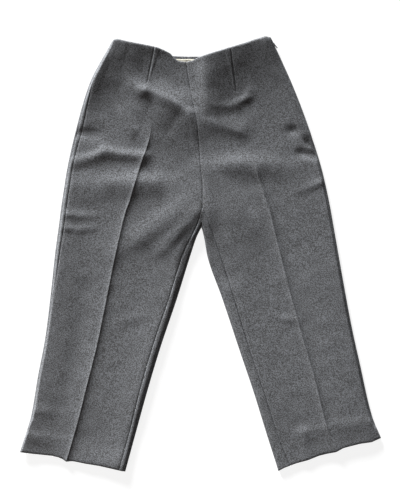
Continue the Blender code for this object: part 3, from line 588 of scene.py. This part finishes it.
def front_grid(leg, cut, settings):
    """The front's outer face, or with cut its inner face: columns run from the outer seam to the inner."""
    end = leg.outer_end(1)
    shift = leg.lip_shift(end)
    last = np.maximum(end, leg.rim * math.pi / 2) + BESIDE_TURN
    run = end[:, None] + (last - end)[:, None] * np.linspace(0, 1, TURN_COLUMNS)
    depth, high = rim_section(run, leg.rim[:, None], cut)
    turned = leg.outer[:, None] + leg.toward[:, None] * (depth - shift[:, None])[..., None]
    inner = leg.seam + leg.centre
    begin = turned[:, -1]
    share = FRONT_SHARES[None, :, None]
    to_crease = (leg.crease - begin)[:, None] * np.clip(2 * share, 0, 1)
    to_seam = (inner - leg.crease)[:, None] * np.clip(2 * share - 1, 0, 1)
    plan = np.concatenate([turned, begin[:, None] + to_crease + to_seam], axis=1)
    at_crease = TURN_COLUMNS - 1 + np.argmin(np.abs(FRONT_SHARES - 0.5))
    across = distance(plan, leg.crease) * np.where(np.arange(plan.shape[1]) > at_crease, 1, -1)
    to_fold = distance(plan, leg.fold) + (leg.at < APEX_ROW - 1)[:, None] * FAR
    from_outer = distance(plan, leg.outer) + shift[:, None]
    gap = np.minimum(from_outer, to_fold)
    high = np.concatenate([high, np.repeat(2 * leg.rim[:, None] - cut, len(FRONT_SHARES), axis=1)], axis=1)
    x = plan[..., 0]
    y = fit_ends(x, plan[..., 1], FRONT_WAIST, leg.hem)
    lift = top_lift(leg, x, y, (from_outer, to_fold), across, settings)
    lift += seam_relief(distance(plan, inner), gap)
    lift += leg.wrapped * seam_relief(distance(plan, turned[:, 0]), gap)
    lift += hem_relief(y[0] - y, *WAIST_TURNING) + hem_relief(y - y[-1], *HEM_TURNING)
    return np.stack([x, y, high + lift], axis=-1)


def back_grid(leg, cut, settings):
    """The back's outer face, or with cut its inner face. It runs round the outer edge and the inner fold."""
    end = leg.outer_end(-1)
    inset = SLIT_INSET[leg.side] * leg.open * smooth(SLIT_ROW, len(SPANS), leg.at)
    shift = leg.lip_shift(end) - inset
    outer_run = runs_round(end, leg.rim)[:, ::-1]
    depth, outer_high = rim_section(outer_run, leg.rim[:, None], cut)
    depth -= shift[:, None]
    outer_plan = leg.outer[:, None] + leg.toward[:, None] * depth[..., None]

    rim = np.full_like(leg.rim, RIM)
    quarter = rim * math.pi / 2
    away = unit(leg.outer - leg.fold)
    before = leg.at <= APEX_ROW
    climb = -quarter * (1 - np.clip(leg.at - (APEX_ROW - 1), 0, 1))
    climb_depth, _ = rim_section(climb, rim, 0)
    edge = np.where(before[:, None], leg.fold + leg.centre - away * climb_depth[:, None], leg.fold)
    apex = leg.fold[np.argmin(np.abs(leg.at - APEX_ROW))]
    crotch = leg.seam[np.argmin(np.abs(leg.at - CROTCH_ROW))]
    share = np.clip(leg.at - APEX_ROW, 0, 1)[:, None]
    on_centre = apex + (crotch - apex) * share * CROTCH_REACH + leg.centre
    seam_end = np.where((leg.at <= CROTCH_ROW)[:, None], on_centre, leg.seam - leg.centre)
    reach = np.linalg.norm(seam_end - edge, axis=1)
    up = (seam_end - edge) / np.maximum(reach, SHORT_REACH)[:, None]
    up = np.where((reach > SHORT_REACH)[:, None], up, unit(crotch - apex))
    stop = np.where(before, climb, round_to(reach, rim))
    run = runs_round(stop, rim)
    fold_depth, fold_high = rim_section(run, rim[:, None], cut)
    risen = np.clip(run / quarter[:, None] / 2 + 0.5, 0, 1)[..., None]
    way = unit(away[:, None] * (1 - risen) + up[:, None] * risen)
    fold_plan = edge[:, None] + way * fold_depth[..., None]

    begin, finish = outer_plan[:, -1], fold_plan[:, 0]
    flat = begin[:, None] + (finish - begin)[:, None] * BACK_SHARES[None, :, None]
    still = np.zeros(flat.shape[:2])
    plan = np.concatenate([outer_plan, flat, fold_plan], axis=1)
    high = np.concatenate([outer_high, still + cut, fold_high], axis=1)
    top = np.concatenate([outer_run > 0, still > 0, run > 0], axis=1)
    gap = np.concatenate([depth, still, fold_depth], axis=1)
    x = plan[..., 0]
    y = fit_ends(x, plan[..., 1], BACK_WAIST, leg.hem)
    across = np.where(np.arange(plan.shape[1]) > outer_run.shape[1], 1, -1) * distance(plan, leg.crease)
    outward = np.arange(plan.shape[1]) < outer_run.shape[1]
    gaps = np.where(outward, gap, FAR), np.where(outward, FAR, gap)
    lift = top_lift(leg, x, y, gaps, across, settings)
    crossed = (leg.at > CROTCH_ROW)[:, None]
    lift += leg.wrapped * seam_relief(distance(plan, plan[:, 0]), gap)
    lift += crossed * seam_relief(distance(plan, plan[:, -1]), gap)
    return np.stack([x, y, high + np.where(top, lift, 0)], axis=-1)


def add_object(name, data, place=(0, 0, 0)):
    """A new object in the scene."""
    made = bpy.data.objects.new(name, data)
    made.location = place
    bpy.context.scene.collection.objects.link(made)
    return made


def new_mesh_object(name, points, faces, finish, sheet_uv=None):
    """An object at the origin, from points in millimetres and four-sided faces."""
    mesh = bpy.data.meshes.new(name)
    mesh.from_pydata(np.asarray(points, float) * MM, [], np.asarray(faces).tolist())
    mesh.materials.append(finish)
    mesh.polygons.foreach_set("use_smooth", np.ones(len(mesh.polygons), bool))
    if sheet_uv is not None:
        layer = mesh.uv_layers.new(name="cloth")
        loops = np.empty(len(mesh.loops), np.int32)
        mesh.loops.foreach_get("vertex_index", loops)
        layer.data.foreach_set("uv", sheet_uv[loops].ravel().astype(np.float32))
    mesh.validate()
    return add_object(name, mesh)


def grid_faces(rows, columns, offset, flip):
    """Faces of a grid: each joins point i, j to its neighbours in the next row and column."""
    i, j = np.meshgrid(np.arange(rows - 1), np.arange(columns - 1), indexing="ij")
    a = (i * columns + j).ravel() + offset
    quads = np.stack([a, a + 1, a + columns + 1, a + columns], axis=1)
    return quads[:, ::-1] if flip else quads


def shell(name, outer, inner, finish, flip):
    """A closed thin wall: the outer face's grid, the inner face's turned over, and a band round them."""
    rows, columns = outer.shape[:2]
    count = rows * columns
    ring = np.concatenate([
        np.arange(columns), np.arange(2, rows + 1) * columns - 1,
        count - 2 - np.arange(columns - 1), np.arange(rows - 2, 0, -1) * columns,
    ])
    after = np.roll(ring, -1)
    band = np.stack([after, ring, ring + count, after + count], axis=1)
    faces = [grid_faces(rows, columns, 0, flip), grid_faces(rows, columns, count, not flip)]
    faces.append(band[:, ::-1] if flip else band)
    points = np.concatenate([outer.reshape(-1, 3), inner.reshape(-1, 3)])
    across = np.linalg.norm(np.diff(outer, axis=1), axis=-1)
    along = np.linalg.norm(np.diff(outer, axis=0), axis=-1)
    u = np.concatenate([np.zeros((rows, 1)), np.cumsum(across, axis=1)], axis=1)
    v = np.concatenate([np.zeros((1, columns)), np.cumsum(along, axis=0)], axis=0)
    uv = np.stack([u.ravel(), v.ravel()], axis=1) * MM
    return new_mesh_object(name, points, np.concatenate(faces), finish, np.concatenate([uv, uv]))


# A bar's corners in half lengths and half widths, its top a little smaller, and its sides.
BAR_CORNERS = np.array([
    [-1, -1, 0], [1, -1, 0], [1, 1, 0], [-1, 1, 0],
    [-0.7, -0.6, 1], [0.7, -0.6, 1], [0.7, 0.6, 1], [-0.7, 0.6, 1],
], float)
BAR_SIDES = np.array([[3, 2, 1, 0], [4, 5, 6, 7], [0, 1, 5, 4], [1, 2, 6, 5], [2, 3, 7, 6], [3, 0, 4, 7]])


def along_path(path, turns, sizes, heights):
    """Small bars on a path: each is a box of length, width and height, turned to the path's way."""
    count = len(path)
    local = BAR_CORNERS[None] * np.array([sizes[0] / 2, sizes[1] / 2, sizes[2]])
    c, s = np.cos(turns)[:, None], np.sin(turns)[:, None]
    x = path[:, 0, None] + local[..., 0] * c - local[..., 1] * s
    y = path[:, 1, None] + local[..., 0] * s + local[..., 1] * c
    z = heights[:, None] + local[..., 2]
    points = np.stack([x, y, z], axis=-1).reshape(-1, 3)
    return points, (BAR_SIDES[None] + np.arange(count)[:, None, None] * 8).reshape(-1, 4)


def spaced(path, pitch):
    """Places a pitch apart along a polyline, and the way that it runs at each."""
    run = np.concatenate([[0], np.cumsum(np.linalg.norm(np.diff(path[:, :2], axis=0), axis=1))])
    at = np.arange(pitch / 2, run[-1], pitch)
    places, ahead, behind = (
        np.stack([np.interp(at + step, run, line) for line in path.T], axis=1) for step in (0, 0.5, -0.5)
    )
    return places, np.arctan2(*(ahead - behind).T[1::-1])


def stitches(name, path, pitch, thread, finish):
    """A row of stitches: a low bar every pitch along a path on the cloth."""
    places, turn = spaced(path, pitch)
    sizes = (pitch * STITCH_LENGTH, thread, thread * STITCH_HEIGHT)
    points, faces = along_path(places, turn, sizes, places[:, 2] - STITCH_SINK)
    return new_mesh_object(name, points, faces, finish)


class Value:
    """A socket's value, so that shader maths reads as an expression. Each operator adds a Math node."""

    def __init__(self, finish, socket):
        self.finish = finish
        self.socket = socket

    def maths(self, kind, first, second=None, clamp=False):
        sockets = {0: first} if second is None else {0: first, 1: second}
        return self.finish.node("ShaderNodeMath", {"operation": kind, "use_clamp": clamp}, sockets)

    def __add__(self, other):
        return self.maths("ADD", self, other)

    __radd__ = __add__

    def __mul__(self, other):
        return self.maths("MULTIPLY", self, other)

    __rmul__ = __mul__

    def __sub__(self, other):
        return self.maths("SUBTRACT", self, other)

    def __rsub__(self, other):
        return self.maths("SUBTRACT", other, self)

    def clamped(self):
        return self.maths("ADD", self, 0.0, clamp=True)

    def wave(self):
        return self.maths("SINE", self)


class Finish:
    """A material and its nodes."""

    def __init__(self, name, roughness, metallic=0.0, sheen=0.0):
        self.material = bpy.data.materials.new(name)
        self.material.use_nodes = True
        self.tree = self.material.node_tree
        self.feed("Roughness", roughness)
        self.feed("Metallic", metallic)
        self.feed("Sheen Weight", sheen)
        self.feed("Sheen Roughness", 0.6)

    def node(self, kind, settings, sockets, output=0):
        """Adds a node with its settings and sockets, and gives one of its outputs."""
        made = self.tree.nodes.new(kind)
        for key, value in settings.items():
            setattr(made, key, value)
        for key, value in sockets.items():
            self.fill(made.inputs[key], value)
        return Value(self, made.outputs[output])

    def fill(self, socket, value):
        """Links a socket to a value of another node, or sets it."""
        if isinstance(value, Value):
            self.tree.links.new(value.socket, socket)
        else:
            socket.default_value = value

    def feed(self, name, value):
        self.fill(self.tree.nodes["Principled BSDF"].inputs[name], value)

    def place(self):
        return self.node("ShaderNodeTexCoord", {}, {}, "Object")

    def axes(self):
        """The place's x and y."""
        apart = self.node("ShaderNodeSeparateXYZ", {}, {"Vector": self.place()})
        return apart, Value(self, apart.socket.node.outputs[1])

    def turned(self, scale, degrees=0.0):
        turn = (0.0, 0.0, math.radians(degrees))
        return self.node("ShaderNodeMapping", {}, {"Vector": self.place(), "Rotation": turn, "Scale": scale})

    def noise(self, where, scale, detail=2.0, rough=0.5):
        return self.node(
            "ShaderNodeTexNoise", {}, {"Vector": where, "Scale": scale, "Detail": detail, "Roughness": rough},
        )

    def mix(self, share, first, second):
        """A colour between two colours."""
        return self.node("ShaderNodeMix", {"data_type": "RGBA"}, {0: share, 6: first, 7: second}, output=2)

    def bump(self, height, distance, strength):
        inputs = {"Height": height, "Distance": distance, "Strength": strength}
        self.feed("Normal", self.node("ShaderNodeBump", {}, inputs))


def shade_of(base, by, tint=(1, 1, 1)):
    """A colour made lighter or darker, and tinted."""
    return (*[min(1.0, c * by * t) for c, t in zip(base, tint)], 1.0)


def flannel_finish(grey):
    """Melange flannel: light and dark fibres, broad soft mottling and a felted nap."""
    finish = Finish("grey_flannel", 0.95, sheen=0.04)
    tangle = finish.noise(finish.turned((1, 1, 1)), scale=600.0, rough=0.6)
    strand_a, strand_b = [
        finish.noise(finish.turned((0.35, 1.5, 1.0), degrees), scale, rough=0.55)
        for degrees, scale in ((58, 1100.0), (-24, 1350.0))
    ]
    cloud = finish.noise(finish.place(), scale=22.0, detail=3.0, rough=0.55)
    melange = tangle * 0.9 + strand_a * 0.55 + strand_b * 0.45 - 0.95
    tone = (melange * 7.5 + (cloud - 0.5) * 0.35 + 0.5).clamped()
    dark = shade_of(grey, 0.36, (1.05, 1.0, 0.95))
    light = shade_of(grey, 1.75, (0.98, 1.0, 1.035))
    ground = finish.mix(tone, dark, light)
    fleck = ((strand_a * strand_b - 0.335) * 14.0).clamped()
    finish.feed("Base Color", finish.mix(fleck * 0.5, ground, shade_of(grey, 2.4)))
    finish.bump(tangle * 0.5 + strand_a * 0.3 + strand_b * 0.3, 0.0005, 0.4)
    return finish.material


def woven_finish(name, base, across, along):
    """A narrow woven tape: fine ribs across it, crossed by faint threads."""
    finish = Finish(name, 0.85, sheen=0.05)
    place, down = finish.axes()
    ribs = (place * across).wave() * 0.5 + 0.5
    threads = (down * along).wave() * 0.5 + 0.5
    wool = finish.noise(finish.place(), 260.0, 2.0)
    shade = (ribs * 0.35 + threads * 0.25 + wool * 0.4).clamped()
    finish.feed("Base Color", finish.mix(shade, shade_of(base, 0.72), shade_of(base, 1.2)))
    finish.bump(ribs * 0.6 + threads * 0.4, 0.0003, 0.5)
    return finish.material


def metal_finish(name, base, worn):
    """Dark enamelled metal, unevenly dull, with a little bare metal in fine rubs."""
    finish = Finish(name, 0.42, metallic=0.9)
    rub = finish.noise(finish.place(), 900.0, 3.0, 0.6)
    dull = finish.noise(finish.place(), 260.0, 2.0)
    bare = ((rub - 0.62) * 9.0).clamped()
    finish.feed("Base Color", finish.mix(bare * worn, shade_of(base, 1.0), (0.22, 0.21, 0.19, 1.0)))
    finish.feed("Roughness", dull * 0.3 + 0.28)
    finish.bump(rub, 0.0001, 0.3)
    return finish.material


def thread_finish(name, base):
    """Twisted sewing thread: fine slanting bands."""
    finish = Finish(name, 0.8)
    place, down = finish.axes()
    twist = ((place + down) * 9000.0).wave() * 0.5 + 0.5
    finish.feed("Base Color", finish.mix(twist, shade_of(base, 0.7), shade_of(base, 1.15)))
    return finish.material


def floor_finish(base, glow):
    """Matt sheet of a light table, lit from below, which softens shadows."""
    finish = Finish("pale_floor", 0.9)
    soft = finish.noise(finish.place(), 3.0, 2.0)
    finish.feed("Base Color", finish.mix(soft, shade_of(base, 0.995), shade_of(base, 1.0)))
    finish.feed("Emission Color", (1.0, 1.0, 1.0, 1.0))
    finish.feed("Emission Strength", glow)
    return finish.material


def both_legs():
    """The wearer's right leg and left leg."""
    return Leg("right", RIGHT_LEG, RIGHT_HEM), Leg("left", LEFT_LEG, LEFT_HEM)


def flat_area(grid):
    """Area of a grid of points, as the sum of its cells' cross products, in square metres."""
    a = grid[1:, 1:] - grid[:-1, :-1]
    b = grid[1:, :-1] - grid[:-1, 1:]
    return float(np.linalg.norm(np.cross(a, b), axis=-1).sum() / 2) * MM * MM


class TROUSERS_OT_cloth(bpy.types.Operator):
    """Makes the two front and two back panels with their folds"""

    bl_idname = "trousers.cloth"
    bl_label = "Panels"

    def execute(self, context):
        settings = context.scene.trousers_cloth
        flannel = flannel_finish(settings.grey)
        cut = settings.thickness / MM
        for leg in both_legs():
            for part, grid, flat in (("front", front_grid, (0.27, 0.84)), ("back", back_grid, (0.32, 0.84))):
                outer = grid(leg, 0, settings)
                inner = grid(leg, cut, settings)
                piece = shell(f"{part}_{leg.side}_cloth", outer, inner, flannel, leg.side == "right")
                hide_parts(f"{part}_{leg.side}")
                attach(piece, "garment")
                flat_area(outer)
        return {"FINISHED"}


class TROUSERS_OT_trim(bpy.types.Operator):
    """Makes the waist tape and its stitches"""

    bl_idname = "trousers.trim"
    bl_label = "Waist tape"

    def execute(self, context):
        settings = context.scene.trousers_cloth
        tape = woven_finish("cream_tape", settings.tape_colour, 5200.0, 9000.0)
        low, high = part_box("waist_tape")
        x = np.linspace(low.x, high.x, TAPE_COLUMNS) / MM
        t = np.linspace(0, 1, TAPE_ROWS)
        top = np.interp(x, *np.transpose(BACK_WAIST)) - TAPE_BELOW
        gx = np.repeat(x[:, None], TAPE_ROWS, axis=1)
        gy = top[:, None] - t[None] * TAPE_WIDTH + sine(TAPE_SIDE_WAVE, gx)
        swell = sine(TAPE_SWELL, gx) * np.sin(math.pi * t)[None]
        outer = np.stack([gx, gy, high.z / MM - TAPE_INSET + swell], axis=-1)
        inner = outer - np.array([0, 0, TAPE_THICK])
        piece = shell("waist_tape_cloth", outer, inner, tape, True)
        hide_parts("waist_tape")
        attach(piece, "garment")
        flat_area(outer)
        cotton = thread_finish("cream_thread", settings.tape_colour)
        pitch = context.scene.trousers_zip.stitch_pitch / MM
        row = stitches("waist_tape_stitches", outer[:, TAPE_STITCH_ROW], pitch, TAPE_THREAD, cotton)
        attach(row, "garment")
        return {"FINISHED"}


class TROUSERS_OT_zip(bpy.types.Operator):
    """Makes the side zip: teeth, tapes, slider and pull"""

    bl_idname = "trousers.zip"
    bl_label = "Side zip"

    def execute(self, context):
        settings = context.scene.trousers_zip
        cloth = context.scene.trousers_cloth
        metal = metal_finish("dark_zip_metal", settings.metal, 0.15)
        braid = woven_finish("black_zip_tape", settings.braid, 9000.0, 6000.0)
        leg = both_legs()[1]
        shown = (leg.outer[:, 1] < ZIP_TOP) & (leg.outer[:, 1] > ZIP_BOTTOM)
        edge = leg.outer[shown]
        down = unit(np.gradient(edge, axis=0))
        out = np.stack([-down[:, 1], down[:, 0]], axis=1)
        self.teeth(edge, out, settings.tooth_pitch / MM, metal)
        self.tapes(edge, out, braid)
        for name in ("zip_slider", "zip_pull"):
            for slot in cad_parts[name].material_slots:
                slot.material = metal
        self.topstitch(leg, cloth, settings)
        return {"FINISHED"}

    def teeth(self, edge, out, pitch, metal):
        """Two ranks of teeth, half a pitch apart, and the rail behind them."""
        meshes = []
        sizes = (pitch * TOOTH_LENGTH, *TOOTH_SECTION)
        for start, level in TOOTH_RANKS:
            places, turn = spaced(edge - out * TOOTH_DEPTH, pitch)
            places[:, :2] += np.stack([np.cos(turn), np.sin(turn)], axis=1) * pitch * start
            meshes.append(along_path(places, turn, sizes, np.full(len(places), level)))
        points = np.concatenate([m[0] for m in meshes])
        faces = np.concatenate([meshes[0][1], meshes[1][1] + len(meshes[0][0])])
        rail_points, rail_faces = self.ribbon(edge, out, RAIL_DEPTHS, RAIL_HEIGHTS)
        faces = np.concatenate([faces, rail_faces + len(points)])
        piece = new_mesh_object("zip_teeth", np.concatenate([points, rail_points]), faces, metal)
        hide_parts("zip_chain")
        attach(piece, "garment")

    def ribbon(self, edge, out, depths, heights):
        """A bar along the edge: four corners carried along it, closed at both ends."""
        corners = [(depths[i], heights[j]) for i, j in ((0, 0), (1, 0), (1, 1), (0, 1))]
        rings = [np.column_stack([edge - out * depth, np.full(len(edge), high)]) for depth, high in corners]
        points = np.stack(rings, axis=1).reshape(-1, 3)
        ring = np.arange(4)
        start = np.arange(len(edge) - 1)[:, None] * 4
        here, after = start + ring, start + (ring + 1) % 4
        sides = np.stack([here, after, after + 4, here + 4], axis=-1).reshape(-1, 4)
        return points, np.concatenate([sides, [ring[::-1]], [ring + len(points) - 4]])

    def tapes(self, edge, out, braid):
        """Thin strips behind the chain, one on each side."""
        for name, low, high in ZIP_STRIPS:
            depth = np.linspace(*STRIP_DEPTHS, STRIP_COLUMNS)
            plan = edge[:, None] - out[:, None] * depth[None, :, None]
            top = np.full(plan.shape[:2], high) - STRIP_INSET + sine(STRIP_WAVE, plan[..., 1])
            outer = np.concatenate([plan, top[..., None]], axis=-1)
            inner = outer - np.array([0, 0, high - low - 2 * STRIP_INSET])
            piece = shell(name + "_cloth", outer, inner, braid, False)
            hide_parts(name)
            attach(piece, "garment")
            flat_area(outer)

    def topstitch(self, leg, cloth, settings):
        """A row of stitches on the front, beside the zip's opening."""
        grid = front_grid(leg, 0, cloth)
        y = leg.outer[:, 1]
        inset = distance(grid[:, TURN_COLUMNS:, :2], leg.outer)[SIDE_ROW_AT]
        column = TURN_COLUMNS + int(np.argmin(np.abs(inset - SIDE_ROW_INSET)))
        path = grid[(y > SIDE_ROW_ENDS[0]) & (y < SIDE_ROW_ENDS[1]), column]
        thread = thread_finish("grey_thread", (0.07, 0.07, 0.075))
        row = stitches("zip_stitches", path, settings.stitch_pitch / MM, ZIP_THREAD, thread)
        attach(row, "garment")


class TROUSERS_OT_stage(bpy.types.Operator):
    """Sets the floor, the light and the camera"""

    bl_idname = "trousers.stage"
    bl_label = "Stage"

    def execute(self, context):
        scene = context.scene
        stage = scene.trousers_stage
        points = BAR_CORNERS[:4] * FLOOR_HALF + [0, 0, FLOOR_LEVEL]
        finish = floor_finish(stage.floor_colour, stage.floor_glow)
        floor = new_mesh_object("floor", points, [(0, 1, 2, 3)], finish)
        sun = bpy.data.lights.new("key_light", "SUN")
        sun.energy = stage.key_strength
        sun.angle = stage.key_softness
        sun.color = stage.key_colour
        lamp = add_object("key_light", sun, (0.0, 1.0, 2.0))
        lamp.rotation_euler = (stage.key_height - math.pi / 2, 0.0, stage.key_side)
        broad = bpy.data.lights.new("side_light", "AREA")
        broad.shape = "DISK"
        broad.size = stage.side_width
        broad.energy = stage.side_strength
        broad.color = stage.fill_colour
        lamp = add_object("side_light", broad, stage.side_place)
        lamp.rotation_euler = lamp.location.to_track_quat("Z", "Y").to_euler()
        world = bpy.data.worlds.new("even_light")
        world.use_nodes = True
        even = world.node_tree.nodes["Background"].inputs
        even["Color"].default_value = (*stage.fill_colour, 1.0)
        even["Strength"].default_value = stage.fill_strength
        scene.world = world
        scene.view_settings.view_transform = "Standard"
        camera = bpy.data.cameras.new("overhead")
        camera.sensor_width = SENSOR
        camera.lens = SENSOR * stage.camera_height / (PICTURE_PIXELS * PIXEL * MM)
        camera.clip_end = 50.0
        middle = (PICTURE_MIDDLE[0] * MM, PICTURE_MIDDLE[1] * MM, stage.camera_height + CLOTH_MIDDLE)
        scene.camera = add_object("overhead", camera, middle)
        return {"FINISHED"}


class TROUSERS_PT_sidebar(bpy.types.Panel):
    """Lists the trousers' sizes and the steps that build them"""

    bl_idname = "TROUSERS_PT_sidebar"
    bl_label = "Trousers"
    bl_space_type = "VIEW_3D"
    bl_region_type = "UI"
    bl_category = "Trousers"

    def draw(self, context):
        scene = context.scene
        for group, operators in (
            (scene.trousers_cloth, ("trousers.cloth", "trousers.trim")),
            (scene.trousers_zip, ("trousers.zip",)),
            (scene.trousers_stage, ("trousers.stage",)),
        ):
            box = self.layout.box()
            for name in type(group).__annotations__:
                box.prop(group, name)
            for operator in operators:
                box.operator(operator)


GROUPS = {"trousers_cloth": TrousersCloth, "trousers_zip": TrousersZip, "trousers_stage": TrousersStage}
CLASSES = (
    *GROUPS.values(), TROUSERS_OT_cloth, TROUSERS_OT_trim, TROUSERS_OT_zip, TROUSERS_OT_stage,
    TROUSERS_PT_sidebar,
)


def register():
    for each in CLASSES:
        bpy.utils.register_class(each)
    for name, group in GROUPS.items():
        setattr(bpy.types.Scene, name, PointerProperty(type=group))


def unregister():
    for name in GROUPS:
        delattr(bpy.types.Scene, name)
    for each in reversed(CLASSES):
        bpy.utils.unregister_class(each)


def main():
    register()
    bpy.ops.trousers.stage()
    bpy.ops.trousers.cloth()
    bpy.ops.trousers.trim()
    bpy.ops.trousers.zip()


if __name__ == "__main__":
    main()
